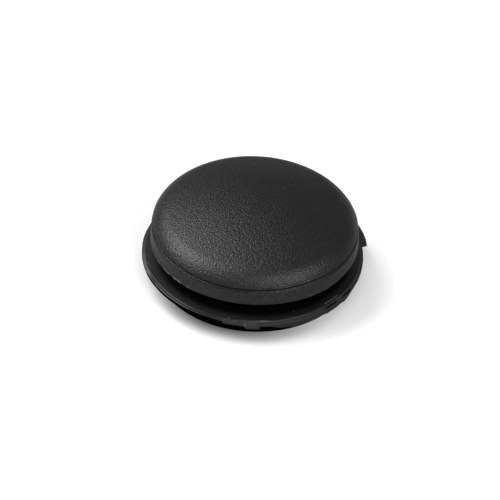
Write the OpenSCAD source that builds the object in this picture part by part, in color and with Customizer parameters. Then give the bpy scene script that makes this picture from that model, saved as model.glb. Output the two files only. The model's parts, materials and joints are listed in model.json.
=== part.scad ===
// Push-in hole cover cap, moulded in one piece of black rubber.
// A domed head covers the hole, the groove below it holds the panel's edge,
// and the tapered flange snaps through from the front.
// Millimetres, +Z up. The origin is on the axis, at the underside of the foot.

/* [Head] */
// Diameter of the head at its lower edge
head_d = 32; // [30:0.5:40]
// Height of the side wall, from the head's lower edge to its rounded top edge
side_wall_h = 2.1; // [1.9:0.1:2.3]
// How much the side wall leans in over its height
side_wall_lean = 0.15; // [0:0.05:0.3]
// Depth of the fine crease between the side wall and the crown
crease_depth = 0.3; // [0.1:0.05:0.4]
// Width of that crease, up the side
crease_w = 0.7; // [0.5:0.05:0.9]
// Radius of the crown's rounded shoulder
shoulder_r = 3.8; // [3:0.1:4.5]
// Height of the shoulder's centre above the head's lower edge
shoulder_lift = 1.35; // [1:0.05:1.8]
// Slope of the crown where the shoulder runs into the dome, in degrees
dome_slope = 15; // [8:1:20]

/* [Panel groove] */
// Diameter of the neck, which fills the hole in the panel
neck_d = 25.4; // [23:0.2:27]
// Clear width of the groove at the neck
groove_w = 2.7; // [1.8:0.1:3.2]
// Radius in the groove's two corners
groove_corner_r = 0.4; // [0.2:0.1:0.6]

/* [Flange] */
// Diameter of the flange at its rim
rim_d = 34.2; // [32:0.2:42]
// Height of the rim's lower corner above the foot
rim_z = 2.8; // [2:0.1:3]
// Thickness of the rim's upright edge
rim_land = 0.25; // [0.15:0.05:0.4]
// Width of the bevel on top of the rim
bevel_w = 0.65; // [0.4:0.05:1]
// Height of that bevel
bevel_h = 0.25; // [0.15:0.05:0.6]
// Rise of the flange's upper face from the bevel to the neck
flange_rise = 0.1; // [0.05:0.05:0.8]
// Diameter of the foot, where the flange's taper ends
foot_d = 30.8; // [29:0.2:32]
// Radius on the foot's outer edge
foot_edge_r = 0.5; // [0.3:0.1:0.8]

/* [Hollow underside] */
// Thickness of the neck's wall
neck_wall = 2.4; // [1.8:0.1:3]
// Thickness of the crown, from the hollow's roof to the top
crown_t = 2.6; // [2:0.1:3.5]
// Chamfer at the hollow's mouth
mouth_chamfer = 0.4; // [0.2:0.1:0.8]

/* [Mould flash] */
// Thickness of the flash left on the rim
flash_t = 0.3; // [0.2:0.05:0.4]
// How far the torn tab stands out of the rim
tab_reach = 0.85; // [0.3:0.05:1]
// Angle at which the tab's cut end lies
tab_from = 9.5; // [0:0.5:15]
// Angle at which the tab runs out
tab_to = 32; // [20:1:40]
// How far the gate's stub stands out of the rim
gate_reach = 0.45; // [0.2:0.05:0.8]
// Angle at which the gate's stub begins
gate_from = 268; // [255:1:270]
// Angle at which the gate's stub ends
gate_to = 275; // [272:1:285]
// How far the skirt of flash hangs below the rim
skirt_drop = 0.55; // [0.3:0.05:0.8]
// How far that skirt stands out of the rim
skirt_reach = 0.1; // [0.05:0.05:0.4]
// Angle at which the skirt begins
skirt_from = 288; // [280:1:300]
// Angle at which the skirt ends
skirt_to = 330; // [315:1:345]

/* [Hidden] */
$fn = 96;

// Degrees between points on the small corners, the shoulder and the dome
corner_step = 15;
shoulder_step = 5;
dome_step = 1.5;

head_r = head_d / 2;
neck_r = neck_d / 2;
rim_r = rim_d / 2;
foot_r = foot_d / 2;
hollow_r = neck_r - neck_wall;

// Levels, from the foot up
rim_top_z = rim_z + rim_land;
bevel_top_z = rim_top_z + bevel_h;
groove_floor_z = bevel_top_z + flange_rise;
head_z = groove_floor_z + groove_w;
wall_top_z = head_z + side_wall_h;

// Crown: a shoulder arc that runs into the arc of the dome
shoulder_x = head_r - shoulder_r;
shoulder_z = head_z + shoulder_lift;
dome_r = shoulder_x / sin(dome_slope) + shoulder_r;
dome_z = shoulder_z - (dome_r - shoulder_r) * cos(dome_slope);

// Crease: it starts above the side wall and ends where the shoulder's arc takes over
crease_top_z = wall_top_z + crease_w;
crease_z = wall_top_z + crease_w / 2;
crease_top_angle = asin((crease_top_z - shoulder_z) / shoulder_r);
wall_top_x = head_r - side_wall_lean;

// Hollow: its roof follows the dome
roof_r = dome_r - crown_t;
roof_angle = asin(hollow_r / roof_r);

// Flash: its root is buried in the flange, and its underside lies this far above the rim's lower corner
flash_root = 0.8;
tab_lift = 0.1;
gate_lift = -0.2;
// The skirt's upper edge, above the rim's lower corner
skirt_top = 0.15;

// Points on an arc about [x, z], from angle a to angle b
function arc(x, z, r, a, b, step) =
    let (n = max(1, ceil(abs(b - a) / step)))
    [for (i = [0:n]) let (t = a + (b - a) * i / n) [x + r * cos(t), z + r * sin(t)]];

// Half of the cap's section: [distance from the axis, height]
function section() = concat(
    [[hollow_r + mouth_chamfer, 0]],
    arc(foot_r - foot_edge_r, foot_edge_r, foot_edge_r, 270, 345, corner_step),
    [[rim_r, rim_z],
     [rim_r, rim_top_z],
     [rim_r - bevel_w, bevel_top_z]],
    arc(neck_r + groove_corner_r, groove_floor_z + groove_corner_r, groove_corner_r,
        270, 180, corner_step),
    arc(neck_r + groove_corner_r, head_z - groove_corner_r, groove_corner_r,
        180, 90, corner_step),
    [[head_r, head_z],
     [wall_top_x, wall_top_z],
     [wall_top_x - crease_depth, crease_z]],
    arc(shoulder_x, shoulder_z, shoulder_r, crease_top_angle, 90 - dome_slope, shoulder_step),
    arc(0, dome_z, dome_r, 90 - dome_slope + dome_step, 90, dome_step),
    arc(0, dome_z, roof_r, 90, 90 - roof_angle, dome_step),
    [[hollow_r, mouth_chamfer]]);

// A strip of flash around part of the rim
module flash(from, to, reach, lift, height = flash_t) {
    rotate([0, 0, from])
        rotate_extrude(angle = to - from)
            translate([rim_r - flash_root, rim_z + lift])
                square([flash_root + reach, height]);
}

module hole_cap() {
    color("#232323") {
        rotate_extrude() polygon(section());
        flash(tab_from, tab_to, tab_reach, tab_lift);
        flash(gate_from, gate_to, gate_reach, gate_lift);
        flash(skirt_from, skirt_to, skirt_reach, -skirt_drop, skirt_drop + skirt_top);
    }
}

hole_cap();
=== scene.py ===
"""Looks of the hole cover cap: one black rubber moulding, its grain, its flash and a plain studio.

The cap's lengths are in millimetres and go to metres in the last step. The sizes of the lamps and of the
floor are in metres.
"""
import json
import math

import bpy
import numpy as np
from mathutils import Matrix, Vector


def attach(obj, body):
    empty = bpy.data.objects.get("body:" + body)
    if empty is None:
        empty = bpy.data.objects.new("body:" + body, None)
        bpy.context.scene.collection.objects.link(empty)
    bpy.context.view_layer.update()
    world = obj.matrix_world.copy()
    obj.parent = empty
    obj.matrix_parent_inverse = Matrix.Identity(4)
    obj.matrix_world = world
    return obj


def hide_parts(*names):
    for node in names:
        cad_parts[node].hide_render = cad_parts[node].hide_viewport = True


METRES = 0.001

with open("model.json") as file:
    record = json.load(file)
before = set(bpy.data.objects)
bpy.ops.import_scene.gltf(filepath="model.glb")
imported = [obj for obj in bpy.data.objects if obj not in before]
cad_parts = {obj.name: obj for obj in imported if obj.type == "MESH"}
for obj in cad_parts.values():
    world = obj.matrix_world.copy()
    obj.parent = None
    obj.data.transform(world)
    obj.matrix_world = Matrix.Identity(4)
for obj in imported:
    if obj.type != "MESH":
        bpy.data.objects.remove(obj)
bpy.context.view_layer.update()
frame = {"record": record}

# ---------------------------------------------------------------- sizes, as in the part's source

HEAD_R = 16.0
WALL_H = 2.1
WALL_LEAN = 0.15
CREASE_DEPTH = 0.3
CREASE_W = 0.7
SHOULDER_R = 3.8
SHOULDER_H = 1.35
DOME_SLOPE = 15.0
RIM_R = 17.1
RIM_Z = 2.8
RIM_T = 0.25
BEVEL_W = 0.65
BEVEL_H = 0.25
FOOT_R = 15.4
FOOT_EDGE_R = 0.5
NECK_WALL = 2.4
CROWN_T = 2.6
MOUTH_CHAMFER = 0.4
GROOVE_CORNER_R = 0.4

groove = next(m for m in frame["record"]["mounts"] if m["name"] == "panel_groove")
NECK_R = groove["dims"]["r_mm"]
HALF_GROOVE = groove["dims"]["length_mm"] / 2
GROOVE_Z = groove["pos_m"][2] / METRES

RIM_TOP_Z = RIM_Z + RIM_T
BEVEL_TOP_Z = RIM_TOP_Z + BEVEL_H
RIDGE_R = RIM_R - BEVEL_W
GROOVE_FLOOR_Z = GROOVE_Z - HALF_GROOVE
HEAD_Z = GROOVE_Z + HALF_GROOVE
WALL_TOP_Z = HEAD_Z + WALL_H
SHOULDER_Z = HEAD_Z + SHOULDER_H
SHOULDER_X = HEAD_R - SHOULDER_R
DOME_R = SHOULDER_X / math.sin(math.radians(DOME_SLOPE)) + SHOULDER_R
DOME_Z = SHOULDER_Z - (DOME_R - SHOULDER_R) * math.cos(math.radians(DOME_SLOPE))
HOLLOW_R = NECK_R - NECK_WALL
ROOF_R = DOME_R - CROWN_T

# ---------------------------------------------------------------- finer sizes of this mesh

CREASE_ROUND = 0.12
CREASE_FLOOR = 0.4                # where the crease is deepest, as a share of its width
WALL_TOP_ROUND = 0.45
TIP_TOP_ROUND = 0.05
TIP_LOW_ROUND = 0.03
ABOVE_CREASE = 2.2                # height over the shoulder's centre that the crease's upper side points to
WALL_LEAN_SHARE = 0.8             # of the wall's lean, where its straight part begins

# The lip and the cone below it, black as painted shade: how far in from the rim and down from its lower edge
LIP_BEGIN = (0.08, 0.1)
LIP_END = (0.45, 0.6)
CONE_BEGIN = (0.5, 0.67)
CONE_END_GAP = 0.05

# The worn lower edge of the head: radius and height from its corner, and how far it may roll outwards
EDGE_IN = 0.02
EDGE = ((0.0, 0.36), (0.0, 0.3), (0.005, 0.23), (0.01, 0.16), (0.01, 0.1), (-0.02, 0.04), (-0.1, 0.0))
EDGE_ROLL = (0.0, 0.015, 0.08, 0.13, 0.14, 0.11, 0.03)

# How far the next row of points stays from a corner or the end of an arc, in degrees and in millimetres
DOME_GAP = 0.6
SHOULDER_GAP = 3.0
CORNER_GAP = 0.3
WALL_GAP = 0.4
NECK_GAP_TOP = 0.6
NECK_GAP_FLOOR = 0.9

# Rows of points on the flange: radii where a sliver can rise, and distances outside the ridge
FLANGE_END = 15.7
SLIVER_ROWS = (15.75, 15.85, 15.95, 16.03, 16.11, 16.2, 16.28)
BEVEL_ROWS = (0.2, 0.27, 0.34)
SLOT_ROWS = (0.37, 0.4, 0.54, 0.57)

# The low bead along the ridge, and the fine groove outside it: radius and height from the ridge
BEAD = ((-0.05, 0.004), (-0.025, 0.02), (0.0, 0.026), (0.025, 0.014), (0.05, -0.03), (0.09, -0.065),
        (0.14, -0.065))


# ---------------------------------------------------------------- the section

def arc(x, z, r, start, end, steps):
    """Points on an arc about (x, z), from one angle to another in degrees."""
    angles = np.radians(np.linspace(start, end, steps + 1))
    return [(x + r * math.cos(a), z + r * math.sin(a)) for a in angles]


def line(a, b, steps):
    """Points along a straight stretch, without its last one."""
    return [(a[0] + (b[0] - a[0]) * i / steps, a[1] + (b[1] - a[1]) * i / steps) for i in range(steps)]


def corner(before, at, after, r, steps=4):
    """Points of a rounded corner of radius r, tangent to both of its sides."""
    p = Vector(at)
    a = (Vector(before) - p).normalized()
    b = (Vector(after) - p).normalized()
    half = a.angle(b) / 2
    reach = r / math.tan(half)
    centre = p + (a + b).normalized() * r / math.sin(half)
    start, end = p + a * reach - centre, p + b * reach - centre
    turn = start.angle_signed(end)
    base = math.atan2(start.y, start.x)
    angles = [base - turn * i / steps for i in range(steps + 1)]
    return [(centre.x + r * math.cos(angle), centre.y + r * math.sin(angle)) for angle in angles]


def on_flange(r):
    """Height of the flange's upper face."""
    return GROOVE_FLOOR_Z + (BEVEL_TOP_Z - GROOVE_FLOOR_Z) * (r - NECK_R) / (RIDGE_R - NECK_R)


def on_bevel(d):
    """Height of the bevel, so far outside the ridge."""
    return BEVEL_TOP_Z - (BEVEL_TOP_Z - RIM_TOP_Z) * d / BEVEL_W


def head_runs():
    """The head: dome, shoulder, crease, side wall and worn lower edge."""
    crease_angle = math.degrees(math.asin((WALL_TOP_Z + CREASE_W - SHOULDER_Z) / SHOULDER_R))
    above_crease = (SHOULDER_X + SHOULDER_R, SHOULDER_Z + ABOVE_CREASE)
    crease_top = (SHOULDER_X + SHOULDER_R * math.cos(math.radians(crease_angle)), WALL_TOP_Z + CREASE_W)
    crease = (HEAD_R - WALL_LEAN - CREASE_DEPTH, WALL_TOP_Z + CREASE_W * CREASE_FLOOR)
    wall_top = (HEAD_R - WALL_LEAN, WALL_TOP_Z)
    wall_foot = (HEAD_R, HEAD_Z)
    wall_round = corner(crease, wall_top, wall_foot, WALL_TOP_ROUND)
    wall_begin = (HEAD_R - WALL_LEAN * WALL_LEAN_SHARE, WALL_TOP_Z - WALL_GAP)
    wall_end = (HEAD_R - EDGE_IN, HEAD_Z + WALL_GAP)
    return [
        ("crown", arc(0, DOME_Z, DOME_R, 90, 90 - DOME_SLOPE + DOME_GAP, 26)),
        ("crown", arc(SHOULDER_X, SHOULDER_Z, SHOULDER_R, 90 - DOME_SLOPE, crease_angle + SHOULDER_GAP, 20)),
        ("crease", corner(above_crease, crease_top, crease, CREASE_ROUND)),
        ("crease", corner(crease_top, crease, wall_top, CREASE_ROUND)),
        ("crease", wall_round[:3]),
        ("wall", wall_round[3:]),
        ("wall", line(wall_begin, wall_end, 7)),
        ("edge", [(HEAD_R - EDGE_IN + dr, HEAD_Z + dz) for dr, dz in EDGE]),
    ]


def groove_runs():
    """The panel groove: the head's underside and the neck with its two rounded corners."""
    corner_r = NECK_R + GROOVE_CORNER_R
    return [
        ("groove", line((HEAD_R - CORNER_GAP, HEAD_Z), (NECK_R + NECK_GAP_TOP, HEAD_Z), 3)),
        ("groove", arc(corner_r, HEAD_Z - GROOVE_CORNER_R, GROOVE_CORNER_R, 90, 180, 4)),
        ("groove", arc(corner_r, GROOVE_FLOOR_Z + GROOVE_CORNER_R, GROOVE_CORNER_R, 180, 270, 4)),
    ]


def flange_runs():
    """The flange: its upper face, the bead on the ridge, the bevel and the rim's tip."""
    begin = NECK_R + NECK_GAP_FLOOR
    ridge = (RIDGE_R, BEVEL_TOP_Z)
    rim_top = (RIM_R, RIM_TOP_Z)
    rim_low = (RIM_R, RIM_Z)
    return [
        ("flange", line((begin, on_flange(begin)), (FLANGE_END, on_flange(FLANGE_END)), 5)),
        ("sliver", [(r, on_flange(r)) for r in SLIVER_ROWS]),
        ("bead", [(RIDGE_R + dr, on_flange(RIDGE_R) + dz) for dr, dz in BEAD]),
        ("bevel", [(RIDGE_R + d, on_bevel(d)) for d in BEVEL_ROWS]),
        ("slot", [(RIDGE_R + d, on_bevel(d)) for d in SLOT_ROWS]),
        ("tip_top", corner(ridge, rim_top, rim_low, TIP_TOP_ROUND, 2)),
        ("tip_low", corner(rim_top, rim_low, (FOOT_R, FOOT_EDGE_R), TIP_LOW_ROUND, 2)),
    ]


def underside_runs():
    """The tapered foot under the rim, its flat face, and the hollow with its roof."""
    mouth = (HOLLOW_R + MOUTH_CHAMFER, 0.0)
    mouth_in = (HOLLOW_R, MOUTH_CHAMFER)
    roof_angle = math.degrees(math.asin(HOLLOW_R / ROOF_R))
    roof = arc(0, DOME_Z, ROOF_R, 90 - roof_angle, 90, 10)
    roof_z = roof[0][1]
    lip_begin, lip_end, cone_begin = ((RIM_R - dr, RIM_Z - dz) for dr, dz in (LIP_BEGIN, LIP_END, CONE_BEGIN))
    return [
        ("lip", line(lip_begin, lip_end, 4)),
        ("cone", line(cone_begin, (FOOT_R + CONE_END_GAP, FOOT_EDGE_R), 5)),
        ("cone", arc(FOOT_R - FOOT_EDGE_R, FOOT_EDGE_R, FOOT_EDGE_R, -15, -90, 5)),
        ("foot", line((FOOT_R - FOOT_EDGE_R - CORNER_GAP, 0.0), mouth, 5)),
        ("foot", [mouth, mouth_in]),
        ("hollow", line((HOLLOW_R, MOUTH_CHAMFER + CORNER_GAP), (HOLLOW_R, roof_z - CORNER_GAP), 8)),
        ("hollow", roof),
    ]


def section():
    """Half of the cap's section from the top of the dome, round the outside, to the roof of the hollow.

    Returns the points and the name of the region that each belongs to.
    """
    runs = head_runs() + groove_runs() + flange_runs() + underside_runs()
    points = [p for _, run in runs for p in run]
    names = [name for name, run in runs for _ in run]
    return np.array(points), names


# ---------------------------------------------------------------- wear and flash, by angle round the rim

# Spans in degrees: where each begins and ends, and how far it fades before and after (the painted shade on
# the rim's tip doesn't)
CUT_FADE = 0.1
TAB = (9.6, 24.0, CUT_FADE, 10.0)
SHARP_BEAD = (196.0, 236.0, 10.0, 14.0)
ROLL_LEFT = (200.0, 232.0, 14.0, 14.0)
# Where the rim's tip gets the black skin, as painted shade under its edge
PAINTED_SHADE_TIP = (200.0, 256.0)
FLAT_BEVEL = (210.0, 246.0, 8.0, 16.0)
ARCH = (267.5, 275.5, 8.0, 8.0)
GATE = (268.0, 274.8, 1.0, CUT_FADE)
PIT = (270.0, 274.0, 0.8, 0.8)
SKIRT = (288.0, 326.0, 9.0, 11.0)
FILM = (290.0, 311.2, 18.0, CUT_FADE)
ROLL_FRONT = (298.0, 318.0, 8.0, 10.0)
SLOTS = ((311.6, 320.0, CUT_FADE, 0.8), (325.5, 333.0, CUT_FADE, 0.8))
SLIVER = (313.4, 322.5, CUT_FADE, 2.5)
BULGE = (326.0, 346.0, 5.0, 8.0)
DIP = (357.0, 22.0)               # its middle, and how far it reaches to either side

RIM_SHIFT = 0.15
DIP_DEPTH = 0.12
ROLL_FRONT_SHARE = 0.6
FLAT_BEVEL_LIFT = 0.2
BEAD_WEAR = 0.75
WEAR_SPARED = 0.9
TAB_REACH = 0.92
TAB_MIDDLE = 15.0
TAB_WIDENS = 0.016                # for each degree past its middle
TAB_DROP = 0.04
ARCH_H = 0.28
GATE_REACH = 0.35
GATE_DROP_TOP = 0.12
GATE_DROP_LOW = 0.2
PIT_DEPTH = 0.16
SKIRT_H = 0.62
SKIRT_TUCK = 0.1
FILM_T = 0.1
SLOT_DEPTH = 0.3
BULGE_H = 0.1
BULGE_ROWS = (1.0, 0.9, 0.6)      # its share on each row of the bevel
SLIVER_H = 0.2
SLIVER_R = 15.99
SLIVER_HALF_W = 0.2

# Radii between which each rises or falls away
ARCH_INSIDE = (15.95, 16.3)
ARCH_OUTSIDE = (RIDGE_R + 0.1, RIM_R)
PIT_OUTSIDE = (RIM_R - 0.3, RIM_R - 0.1)
FILM_INSIDE = (15.8, 16.0)

# Fixed ripples round the rim: waves per turn, size and phase
RIM_RIPPLE = ((2, 0.04, 0.6), (5, 0.02, 2.0), (11, 0.015, 0.4), (23, 0.01, 1.0))
RIDGE_RIPPLE = ((3, 0.02, 1.0), (9, 0.012, 0.3), (19, 0.008, 2.2), (47, 0.005, 0.7))
EDGE_RIPPLE = ((37, 0.25, 0.2), (71, 0.2, 1.4))
TAB_RIPPLE = ((60, 0.02, 0.0), (97, 0.015, 1.0))
GATE_RIPPLE = ((80, 0.03, 0.5),)
SKIRT_RIPPLE = ((31, 0.05, 0.3), (53, 0.04, 1.1), (90, 0.02, 0.2))

COLUMN_STEP = 0.8
COLUMN_CLEAR = 0.3                # how near an even column may come to one of a close pair


def ramp(x, a, b):
    """0 before a, 1 after b, smooth between."""
    t = np.clip((x - a) / (b - a), 0, 1)
    return t * t * (3 - 2 * t)


def between(x, a, b, fade_in, fade_out):
    """1 from a to b, with its own fade at either end."""
    return ramp(x, a - fade_in, a) * (1 - ramp(x, b, b + fade_out))


def near(angle, centre, half):
    """1 at the centre, falling to 0 at half that many degrees either side."""
    away = abs((angle - centre + 180) % 360 - 180)
    return 0.5 + 0.5 * math.cos(math.pi * min(away / half, 1))


def waves(angle, *terms):
    """A fixed ripple round the rim: each term is (waves per turn, size, phase)."""
    return sum(size * np.sin(np.radians(angle) * count + phase) for count, size, phase in terms)


class Ring:
    """The section at one angle: radius and height of its points, and where each region's points are."""

    def __init__(self, points, at, angle):
        self.r = points[:, 0].copy()
        self.z = points[:, 1].copy()
        self.at = at
        self.angle = angle


def regions(names):
    """Where each region's points are, and those of the rim and of all that moves with it."""
    at = {name: np.array([n == name for n in names]) for name in set(names)}
    at["rim"] = at["tip_top"] | at["slot"] | at["tip_low"]
    at["outer"] = at["rim"] | at["bevel"] | at["bead"]
    return at


def uneven_rim(ring):
    """The flange lies a little off the head's axis, its rim is a little out of round and its ridge uneven."""
    outer, lip, sliver, bead = (ring.at[name] for name in ("outer", "lip", "sliver", "bead"))
    ring.r[outer | lip | sliver] += waves(ring.angle, (1, RIM_SHIFT, -math.pi / 2))
    ring.r[outer | lip] += waves(ring.angle, *RIM_RIPPLE)
    ring.z[bead] += waves(ring.angle, *RIDGE_RIPPLE)
    ring.r[outer] -= DIP_DEPTH * near(ring.angle, *DIP)


def rolled_edge(ring):
    """The head's lower edge is rolled out a little on the left and at the right of the front."""
    roll = between(ring.angle, *ROLL_LEFT) + ROLL_FRONT_SHARE * between(ring.angle, *ROLL_FRONT)
    roll *= 1 + waves(ring.angle, *EDGE_RIPPLE)
    ring.r[ring.at["edge"]] += roll * np.array(EDGE_ROLL)


def flat_bevel(ring):
    """The bevel is flatter at the left of the front."""
    flat = between(ring.angle, *FLAT_BEVEL) * FLAT_BEVEL_LIFT
    slope = ring.at["bevel"] | ring.at["slot"]
    ring.z[slope] += flat * (ring.r[slope] - RIDGE_R) / BEVEL_W
    ring.z[ring.at["tip_top"]] += flat


def worn_bead(ring):
    """The bead is sharp on the left and worn away elsewhere."""
    worn = 1 - between(ring.angle, *SHARP_BEAD) * WEAR_SPARED
    face = on_flange(RIDGE_R + np.array([dr for dr, _ in BEAD]))
    ring.z[ring.at["bead"]] -= worn * BEAD_WEAR * (ring.z[ring.at["bead"]] - face)


def torn_tab(ring):
    """A torn tab on the right, cut off clean at its near end and wider towards its far end."""
    tab = between(ring.angle, *TAB)
    reach = TAB_REACH + TAB_WIDENS * (ring.angle - TAB_MIDDLE) + waves(ring.angle, *TAB_RIPPLE)
    ring.r[ring.at["rim"]] += tab * reach
    ring.z[ring.at["tip_top"]] -= tab * TAB_DROP


def gate_stub(ring):
    """At the front, a raised arch on the ridge and a thin flap that hangs a little, with a pit above it."""
    sliver, bevel = ring.at["sliver"], ring.at["bevel"]
    arch = between(ring.angle, *ARCH)
    ring.z[ring.at["bead"]] += arch * ARCH_H
    ring.z[sliver] += arch * ARCH_H * ramp(ring.r[sliver], *ARCH_INSIDE)
    ring.z[bevel] += arch * ARCH_H * (1 - ramp(ring.r[bevel], *ARCH_OUTSIDE))
    gate = between(ring.angle, *GATE)
    ring.r[ring.at["rim"]] += gate * (GATE_REACH + waves(ring.angle, *GATE_RIPPLE))
    ring.z[ring.at["tip_low"]] -= gate * GATE_DROP_LOW
    ring.z[ring.at["tip_top"]] -= gate * GATE_DROP_TOP
    pit = between(ring.angle, *PIT)
    ring.z[bevel] -= pit * PIT_DEPTH * ramp(ring.r[bevel], *PIT_OUTSIDE)


def hanging_skirt(ring):
    """On the right of the front a skirt of flash hangs from the rim."""
    skirt = between(ring.angle, *SKIRT)
    depth = SKIRT_H + waves(ring.angle, *SKIRT_RIPPLE)
    ring.z[ring.at["tip_low"]] -= skirt * depth
    ring.r[ring.at["lip"]] -= skirt * SKIRT_TUCK


def torn_film(ring):
    """A film of flash lies on the ridge above the skirt, and ends in a step where it tore."""
    sliver = ring.at["sliver"]
    film = between(ring.angle, *FILM) * FILM_T
    ring.z[ring.at["bead"] | ring.at["bevel"]] += film
    ring.z[sliver] += film * ramp(ring.r[sliver], *FILM_INSIDE)


def open_slots(ring):
    """Past the torn film, two narrow slits run along the bevel."""
    slots = sum(between(ring.angle, *span) for span in SLOTS)
    floor = np.flatnonzero(ring.at["slot"])[1:3]
    ring.z[floor] -= slots * SLOT_DEPTH


def bulged_ridge(ring):
    """Further round, the ridge's outer side bulges."""
    bulge = between(ring.angle, *BULGE)
    ring.z[ring.at["bevel"]] += bulge * BULGE_H * np.array(BULGE_ROWS)
    ring.z[ring.at["bead"]] += bulge * BULGE_H / 2


def raised_sliver(ring):
    """A sliver stands up just inside the ridge where the film tore."""
    sliver = ring.at["sliver"]
    raised = between(ring.angle, *SLIVER)
    peak = np.clip(1 - np.abs(ring.r[sliver] - SLIVER_R) / SLIVER_HALF_W, 0, 1)
    ring.z[sliver] += raised * SLIVER_H * peak


# In this order, because some follow the shape that those before them leave
CHANGES = (uneven_rim, rolled_edge, flat_bevel, worn_bead, torn_tab, gate_stub, hanging_skirt, torn_film,
           open_slots, bulged_ridge, raised_sliver)


# ---------------------------------------------------------------- the mesh

# How deep the moulded grain is in each region
GRAIN = dict(crown=1.0, crease=0.9, wall=1.0, edge=0.5, groove=0.2, flange=0.25, sliver=0.15, bead=0.1,
             bevel=0.25, tip_top=0.2, slot=0.2, tip_low=0.2, lip=0.25, cone=0.2, foot=0.2, hollow=0.15)
# Painted light and shade: how much lighter or darker than the crown each region of the one rubber is made,
# where more light falls on it or the head shades it. The flange is darkest in the head's shade by the groove
# and lightens outwards between two radii
PAINTED_SHADE_LEVEL = 0.3
PAINTED_LIGHT_BY_REGION = dict(crown=1.0, crease=1.2, wall=2.8, edge=2.6, sliver=2.8, bead=3.0, bevel=3.2, slot=3.2,
            tip_top=2.5, tip_low=2.5)
FLANGE_PAINTED_LIGHT = 2.5
FLANGE_PAINTED_LIGHT_SPAN = (14.7, 16.0)
SHARP_ANGLE = 40                  # edges that turn more than this aren't shaded smooth
# The three skins, by their place among the cap's materials, and the regions where it isn't the plain one. The
# third is black without sheen: painted shade on the groove, the underside, the slits and part of the rim's
# tip
PLAIN, DULL, SHADED_BLACK = 0, 1, 2
SKIN = dict(crease=DULL, bead=DULL, groove=SHADED_BLACK, lip=SHADED_BLACK, cone=SHADED_BLACK, foot=SHADED_BLACK, hollow=SHADED_BLACK)


def columns():
    """Angles of the mesh's columns: even steps, and a close pair at each torn or cut end.

    The first slit begins close to the film's end, which has its own pair.
    """
    first_slot, second_slot = SLOTS
    cuts = [TAB[0], GATE[0], GATE[1], FILM[1], SLIVER[0] - CUT_FADE, first_slot[1], *second_slot[:2]]
    pairs = [c + side * CUT_FADE / 2 for c in cuts for side in (-1, 1)]
    even = [a for a in np.arange(0, 360, COLUMN_STEP) if min(abs(a - p) for p in pairs) > COLUMN_CLEAR]
    return np.array(sorted(even + pairs))


def column(points, at, angle):
    """The section's points in space at one angle, with all wear and flash."""
    ring = Ring(points, at, angle)
    for change in CHANGES:
        change(ring)
    turn = math.radians(angle)
    return np.column_stack([ring.r * math.cos(turn), ring.r * math.sin(turn), ring.z])


def cap_faces(count, width):
    """Faces between neighbouring columns, with a fan at the top of the dome and one in the hollow's roof."""
    top = count * width
    roof = top + 1
    faces = []
    for i in range(count):
        a, b = i * width, ((i + 1) % count) * width
        faces.append((top, a, b))
        faces.extend((a + j, a + j + 1, b + j + 1, b + j) for j in range(width - 1))
        faces.append((a + width - 1, roof, b + width - 1))
    return faces


def painted_light_levels(points, names):
    """Painted light and shade at each point of the section: how much lighter or darker the rubber is made
    there.
    """
    plain = np.array([PAINTED_LIGHT_BY_REGION.get(name, PAINTED_SHADE_LEVEL) for name in names])
    on_face = np.array([name == "flange" for name in names])
    return plain + on_face * FLANGE_PAINTED_LIGHT * ramp(points[:, 0], *FLANGE_PAINTED_LIGHT_SPAN)


def skins(names, angle):
    """The skin of each face down one column, from the top of the dome to the hollow's roof."""
    own = dict(SKIN)
    # The slits and, on the left of the front, the rim's tip get the black skin as painted shade
    if any(begin <= angle < end for begin, end, *_ in SLOTS):
        own["slot"] = SHADED_BLACK
    if PAINTED_SHADE_TIP[0] < angle < PAINTED_SHADE_TIP[1]:
        own["tip_top"] = own["tip_low"] = SHADED_BLACK
    skin = [own.get(name, PLAIN) for name in names]
    return [PLAIN] + [a if a == b else PLAIN for a, b in zip(skin, skin[1:])] + [skin[-1]]


def cap_mesh():
    """The whole cap as one closed mesh: the section carried round all columns."""
    points, names = section()
    at = regions(names)
    angles = columns()
    inner_points, inner_names = points[1:-1], names[1:-1]
    around = np.vstack([column(points, at, angle)[1:-1] for angle in angles])
    verts = np.vstack([around, [[0, 0, points[0, 1]], [0, 0, points[-1, 1]]]])
    mesh = bpy.data.meshes.new("cap_mesh")
    mesh.from_pydata((verts * METRES).tolist(), [], cap_faces(len(angles), len(inner_points)))
    mesh.validate()

    grain = [GRAIN[name] for name in inner_names] * len(angles) + [GRAIN["crown"], GRAIN["hollow"]]
    # Each point's painted light and shade, which makes the rubber lighter or darker by region
    grey = painted_light_levels(inner_points, inner_names).tolist() * len(angles) + [PAINTED_LIGHT_BY_REGION["crown"], PAINTED_SHADE_LEVEL]
    for name, values in (("grain", grain), ("grey", grey)):
        layer = mesh.attributes.new(name, "FLOAT", "POINT")
        layer.data.foreach_set("value", np.array(values, dtype=np.float32))
    kinds = np.concatenate([skins(inner_names, angle) for angle in angles])
    mesh.polygons.foreach_set("material_index", kinds.astype(np.int32))
    mesh.shade_smooth()
    mesh.set_sharp_from_angle(angle=math.radians(SHARP_ANGLE))
    return mesh


# ---------------------------------------------------------------- shader nodes

def link(tree, a, a_out, b, b_in):
    """Join one node's output to another's input."""
    tree.links.new(a.outputs[a_out], b.inputs[b_in])


def node(tree, kind, **settings):
    """A new shader node, with its properties and named inputs set."""
    made = tree.nodes.new(kind)
    for key, value in settings.items():
        if hasattr(made, key):
            setattr(made, key, value)
        else:
            made.inputs[key.replace("_", " ")].default_value = value
    return made


def maths(tree, operation, *terms):
    """A math node. Each term is a number, or a node and its output."""
    made = node(tree, "ShaderNodeMath", operation=operation)
    for i, term in enumerate(terms):
        if isinstance(term, tuple):
            link(tree, *term, made, i)
        else:
            made.inputs[i].default_value = term
    return made


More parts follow.
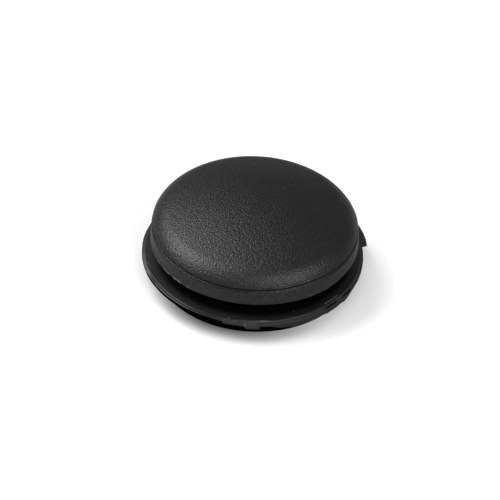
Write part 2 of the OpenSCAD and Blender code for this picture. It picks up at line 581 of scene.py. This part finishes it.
def remap(tree, source, output, span, to=(0.0, 1.0), **settings):
    """A node that takes one span of the source's values to another."""
    made = node(tree, "ShaderNodeMapRange", From_Min=span[0], From_Max=span[1], To_Min=to[0], To_Max=to[1],
                **settings)
    link(tree, source, output, made, "Value")
    return made


def new_material(name):
    """A new material, with its node tree and its surface shader."""
    material = bpy.data.materials.new(name)
    material.use_nodes = True
    tree = material.node_tree
    return material, tree, tree.nodes["Principled BSDF"]


# ---------------------------------------------------------------- rubber

# The mould grain: its pebbles, the noise that bends them and its wrinkles per millimetre, and its depth
PEBBLES = 3.7
PEBBLE_EDGE = 0.2
BENDS = 2.2
BEND = 0.25
WRINKLES = 7.0
WRINKLE_SHARE = 0.7
WRINKLES_LEFT = 0.15              # the part of them that stays where the grain fades out
GRAIN_DEPTH = 0.055

CLOUDS = 0.5
ROUGHNESS = (0.27, 0.35)
SHEEN = 0.5
DULL_SHEEN = 0.28

BLOTCHES = 2.4
BLOTCH_SPAN = (0.38, 0.68)
TONE = (0.002, 0.011)             # the darkest and the lightest blotches
TONE_MEAN = sum(TONE) / 2
TINT = (1.0, 1.0, 1.06)
DUST = 0.42
DUST_SPAN = (0.045, 0.03)
DUST_COLOUR = (0.16, 0.16, 0.155, 1)

# Painted shade: the colour and roughness of the black skin
PAINTED_SHADE_COLOUR = (0.0015, 0.0015, 0.0015, 1)
PAINTED_SHADE_ROUGHNESS = 0.6


def grain_bump(tree, place, bent, grain, surface):
    """Pebbles, with finer wrinkles over them that stay where the pebbles fade."""
    pebbles = node(tree, "ShaderNodeTexVoronoi", feature="SMOOTH_F1", Scale=PEBBLES, Smoothness=PEBBLE_EDGE)
    link(tree, bent, 0, pebbles, "Vector")
    fine = node(tree, "ShaderNodeTexNoise", Scale=WRINKLES, Detail=3.0, Roughness=0.6)
    link(tree, place, 0, fine, "Vector")
    deep = maths(tree, "MULTIPLY", (pebbles, "Distance"), (grain, "Fac"))
    shallow = maths(tree, "MULTIPLY", (fine, "Fac"), WRINKLE_SHARE)
    fade = maths(tree, "MULTIPLY_ADD", (grain, "Fac"), 1 - WRINKLES_LEFT, WRINKLES_LEFT)
    wrinkles = maths(tree, "MULTIPLY", (shallow, 0), (fade, 0))
    both = maths(tree, "SUBTRACT", (wrinkles, 0), (deep, 0))
    bump = node(tree, "ShaderNodeBump", Strength=1.0, Distance=GRAIN_DEPTH * METRES)
    link(tree, both, 0, bump, "Height")
    link(tree, bump, "Normal", surface, "Normal")


def mottled_roughness(tree, place, surface):
    """Roughness that varies a little from place to place."""
    cloud = node(tree, "ShaderNodeTexNoise", Scale=CLOUDS, Detail=3.0)
    link(tree, place, 0, cloud, "Vector")
    mottle = remap(tree, cloud, "Fac", (0.0, 1.0), ROUGHNESS)
    link(tree, mottle, 0, surface, "Roughness")


def mottled_colour(tree, place, bent, grain, surface):
    """Near black, blotched where it is grained, lighter or darker by region as painted light and shade, with
    sparse specks of dust.
    """
    blotch = node(tree, "ShaderNodeTexNoise", Scale=BLOTCHES, Detail=4.0, Roughness=0.7)
    link(tree, bent, 0, blotch, "Vector")
    spread = remap(tree, blotch, "Fac", BLOTCH_SPAN, TONE)
    even = node(tree, "ShaderNodeMix", data_type="FLOAT", A=TONE_MEAN)
    link(tree, grain, "Fac", even, "Factor")
    link(tree, spread, 0, even, "B")
    # Painted light and shade: the rubber is made lighter or darker by region
    grey = node(tree, "ShaderNodeAttribute", attribute_name="grey")
    level = maths(tree, "MULTIPLY", (even, 0), (grey, "Fac"))
    tone = node(tree, "ShaderNodeVectorMath", operation="SCALE")
    tone.inputs[0].default_value = TINT
    link(tree, level, 0, tone, "Scale")

    dust = node(tree, "ShaderNodeTexVoronoi", feature="F1", Scale=DUST)
    link(tree, place, 0, dust, "Vector")
    speck = remap(tree, dust, "Distance", DUST_SPAN)
    # A mix node's sockets 6 and 7 and its output 2 are the ones for colour
    mix = node(tree, "ShaderNodeMix", data_type="RGBA")
    mix.inputs[7].default_value = DUST_COLOUR
    link(tree, speck, 0, mix, 0)
    link(tree, tone, 0, mix, 6)
    link(tree, mix, 2, surface, "Base Color")


def rubber(name, sheen):
    """Black rubber with mould grain, which is deep on the head and faint on the flange."""
    material, tree, surface = new_material(name)
    surface.inputs["Specular IOR Level"].default_value = sheen
    metres = node(tree, "ShaderNodeTexCoord")
    place = node(tree, "ShaderNodeVectorMath", operation="SCALE", Scale=1 / METRES)
    link(tree, metres, "Object", place, 0)
    bend = node(tree, "ShaderNodeTexNoise", Scale=BENDS, Detail=2.0)
    link(tree, place, 0, bend, "Vector")
    bent = node(tree, "ShaderNodeVectorMath", operation="MULTIPLY_ADD")
    bent.inputs[1].default_value = (BEND, BEND, BEND)
    link(tree, bend, "Color", bent, 0)
    link(tree, place, 0, bent, 2)
    grain = node(tree, "ShaderNodeAttribute", attribute_name="grain")
    grain_bump(tree, place, bent, grain, surface)
    mottled_roughness(tree, place, surface)
    mottled_colour(tree, place, bent, grain, surface)
    return material


def painted_shade_skin():
    """Painted shade: black rubber without sheen for the groove, the underside, the slits and part of the
    rim's tip, where the rubber lies in shade.
    """
    material, _, surface = new_material("rubber_underside")
    surface.inputs["Base Color"].default_value = PAINTED_SHADE_COLOUR
    surface.inputs["Roughness"].default_value = PAINTED_SHADE_ROUGHNESS
    surface.inputs["Specular IOR Level"].default_value = 0.0
    return material


# ---------------------------------------------------------------- camera and studio

IMAGE_PX = 500
SENSOR_MM = 36.0
CENTRE_PX = (254.6, 236.13)       # where the middle of the head's lower edge lies in the picture
HEAD_R_PX = 104.33                # the head's radius in the picture
ELEVATION = 39.55
ROLL = 3.04
DISTANCE = 20 * HEAD_R

FLOOR_HALF = 2.0
FLOOR_ALBEDO = 0.33               # what the floor throws back on the cap
FLOOR_SEEN = 0.98                 # what the camera sees of it
FLOOR_GLOW = 0.2                  # added on the right, for the camera alone
GLOW_SPAN = (-8.0, 12.0)          # along X, where the glow begins and where it is full
CONTACT_REACH = 4.0               # how far the foot darkens the floor round it
CONTACT_SPAN = (0.05, 0.7)        # shares of open sky at which the floor is black and white
CONTACT_SIDE = 262                # azimuth at which the foot's shadow is darkest
RELIEF = 0.8                      # how much lighter it is elsewhere
RELIEF_SPAN = (17.0, 8.0)         # how far towards that side this begins, and where it is full

WORLD_SIDE = (266, 36)            # azimuth and elevation of the world's brightest place
WORLD_SPAN = (-0.3, 0.8)          # cosines of the angle to it at which the world is dim and bright
WORLD_LEVEL = (0.18, 0.58)
KEY = dict(name="softbox_left", azimuth=165, elevation=45.5, roll=-27, distance=0.75, width=0.86, height=0.44,
           radiance=5.2)
FILL = dict(name="softbox_front", azimuth=312.5, elevation=36.2, roll=0, distance=0.75, width=0.52,
            height=0.35, radiance=3.6)


def studio_direction(azimuth, elevation):
    """Unit vector towards a place round the cap: azimuth 0 is +X, 90 is the back."""
    a, e = math.radians(azimuth), math.radians(elevation)
    return Vector((math.cos(a) * math.cos(e), math.sin(a) * math.cos(e), math.sin(e)))


def contact_shadow(tree, place):
    """How much of its white the floor keeps: dark close to the foot, most of all in front of it."""
    openness = node(tree, "ShaderNodeAmbientOcclusion", samples=8, Distance=CONTACT_REACH * METRES)
    contact = remap(tree, openness, "AO", CONTACT_SPAN)
    front = node(tree, "ShaderNodeVectorMath", operation="DOT_PRODUCT")
    front.inputs[1].default_value = studio_direction(CONTACT_SIDE, 0)
    link(tree, place, "Object", front, 0)
    span = [end * METRES for end in RELIEF_SPAN]
    relief = remap(tree, front, "Value", span, (0.0, RELIEF), interpolation_type="SMOOTHSTEP")
    lifted = node(tree, "ShaderNodeMix", data_type="FLOAT", B=1.0)
    link(tree, relief, 0, lifted, "Factor")
    link(tree, contact, 0, lifted, "A")
    return lifted


def camera_glow(tree, place, rays):
    """A faint glow on the right that only the camera sees."""
    apart = node(tree, "ShaderNodeSeparateXYZ")
    link(tree, place, "Object", apart, 0)
    span = [end * METRES for end in GLOW_SPAN]
    open_side = remap(tree, apart, "X", span, interpolation_type="SMOOTHSTEP")
    seen = maths(tree, "MULTIPLY", (open_side, 0), (rays, "Is Camera Ray"))
    return maths(tree, "MULTIPLY", (seen, 0), FLOOR_GLOW)


def white_floor():
    """A floor that looks white to the camera and keeps the cap's shadow."""
    material, tree, surface = new_material("white_floor")
    material.cycles.emission_sampling = "NONE"
    surface.inputs["Roughness"].default_value = 1.0
    surface.inputs["Specular IOR Level"].default_value = 0.0
    surface.inputs["Emission Color"].default_value = (1, 1, 1, 1)
    place = node(tree, "ShaderNodeTexCoord")
    rays = node(tree, "ShaderNodeLightPath")
    seen = maths(tree, "MULTIPLY", (contact_shadow(tree, place), 0), FLOOR_SEEN)
    shade = node(tree, "ShaderNodeMix", data_type="FLOAT", A=FLOOR_ALBEDO)
    link(tree, rays, "Is Camera Ray", shade, "Factor")
    link(tree, seen, 0, shade, "B")
    link(tree, shade, 0, surface, "Base Color")
    link(tree, camera_glow(tree, place, rays), 0, surface, "Emission Strength")
    return material


def make_floor():
    """A flat square under the cap, as part of the stage."""
    corners = [(x * FLOOR_HALF, y * FLOOR_HALF, 0) for x, y in ((-1, -1), (1, -1), (1, 1), (-1, 1))]
    mesh = bpy.data.meshes.new("floor")
    mesh.from_pydata(corners, [], [(0, 1, 2, 3)])
    mesh.materials.append(white_floor())
    floor = bpy.data.objects.new("floor", mesh)
    bpy.context.collection.objects.link(floor)


def make_camera():
    """The camera at the picture's angle. It aims past the cap, which then lies where the picture has it."""
    data = bpy.data.cameras.new("camera")
    camera = bpy.data.objects.new("camera", data)
    bpy.context.collection.objects.link(camera)
    bpy.context.scene.camera = camera
    data.sensor_width = SENSOR_MM
    focal_px = HEAD_R_PX * DISTANCE / HEAD_R
    data.lens = focal_px * SENSOR_MM / IMAGE_PX
    data.clip_start, data.clip_end = 0.01, 20

    back = studio_direction(-90, ELEVATION)
    right = Vector((1, 0, 0))
    up = back.cross(right)
    turn = Matrix.Rotation(math.radians(ROLL), 3, back)
    screen_right, screen_up = turn @ right, turn @ up
    seen = Vector((0, 0, HEAD_Z))
    per_px = HEAD_R / HEAD_R_PX
    aim = (seen - screen_right * (CENTRE_PX[0] - IMAGE_PX / 2) * per_px
           - screen_up * (IMAGE_PX / 2 - CENTRE_PX[1]) * per_px)
    spot = seen + back * DISTANCE
    look = (spot - aim).normalized()
    across = screen_up.cross(look).normalized()
    axes = Matrix((across, look.cross(across), look)).transposed()
    camera.matrix_world = Matrix.Translation(spot * METRES) @ axes.to_4x4()


def make_lamp(name, azimuth, elevation, roll, distance, width, height, radiance):
    """A softbox that faces the cap. Its radiance is what a mirror would show of it."""
    data = bpy.data.lights.new(name, "AREA")
    data.shape = "RECTANGLE"
    data.size, data.size_y = width, height
    data.energy = radiance * math.pi * width * height
    lamp = bpy.data.objects.new(name, data)
    bpy.context.collection.objects.link(lamp)
    out = studio_direction(azimuth, elevation)
    level = Vector((0, 0, 1)).cross(out).normalized()
    along = Matrix.Rotation(math.radians(roll), 3, out) @ level
    axes = Matrix((along, out.cross(along), out)).transposed()
    lamp.matrix_world = Matrix.Translation(out * distance) @ axes.to_4x4()


def make_world():
    """Soft light from all round, brighter from the front, and white where the camera looks past the floor."""
    world = bpy.data.worlds.new("studio")
    bpy.context.scene.world = world
    world.use_nodes = True
    tree = world.node_tree
    background = tree.nodes["Background"]
    background.inputs["Color"].default_value = (1, 1, 1, 1)
    place = node(tree, "ShaderNodeTexCoord")
    towards = node(tree, "ShaderNodeVectorMath", operation="DOT_PRODUCT")
    towards.inputs[1].default_value = studio_direction(*WORLD_SIDE)
    link(tree, place, "Generated", towards, 0)
    side = remap(tree, towards, "Value", WORLD_SPAN, WORLD_LEVEL, interpolation_type="SMOOTHSTEP")
    rays = node(tree, "ShaderNodeLightPath")
    level = node(tree, "ShaderNodeMix", data_type="FLOAT", B=1.0)
    link(tree, rays, "Is Camera Ray", level, "Factor")
    link(tree, side, 0, level, "A")
    link(tree, level, 0, background, "Strength")


# ---------------------------------------------------------------- the scene

cap = bpy.data.objects.new("cap", cap_mesh())
cap.data.materials.append(rubber("rubber_black", SHEEN))
cap.data.materials.append(rubber("rubber_crease", DULL_SHEEN))
cap.data.materials.append(painted_shade_skin())
bpy.context.collection.objects.link(cap)
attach(cap, "root")
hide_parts("hole_cap")

make_floor()
make_camera()
make_world()
make_lamp(**KEY)
make_lamp(**FILL)
bpy.context.scene.view_settings.view_transform = "Standard"
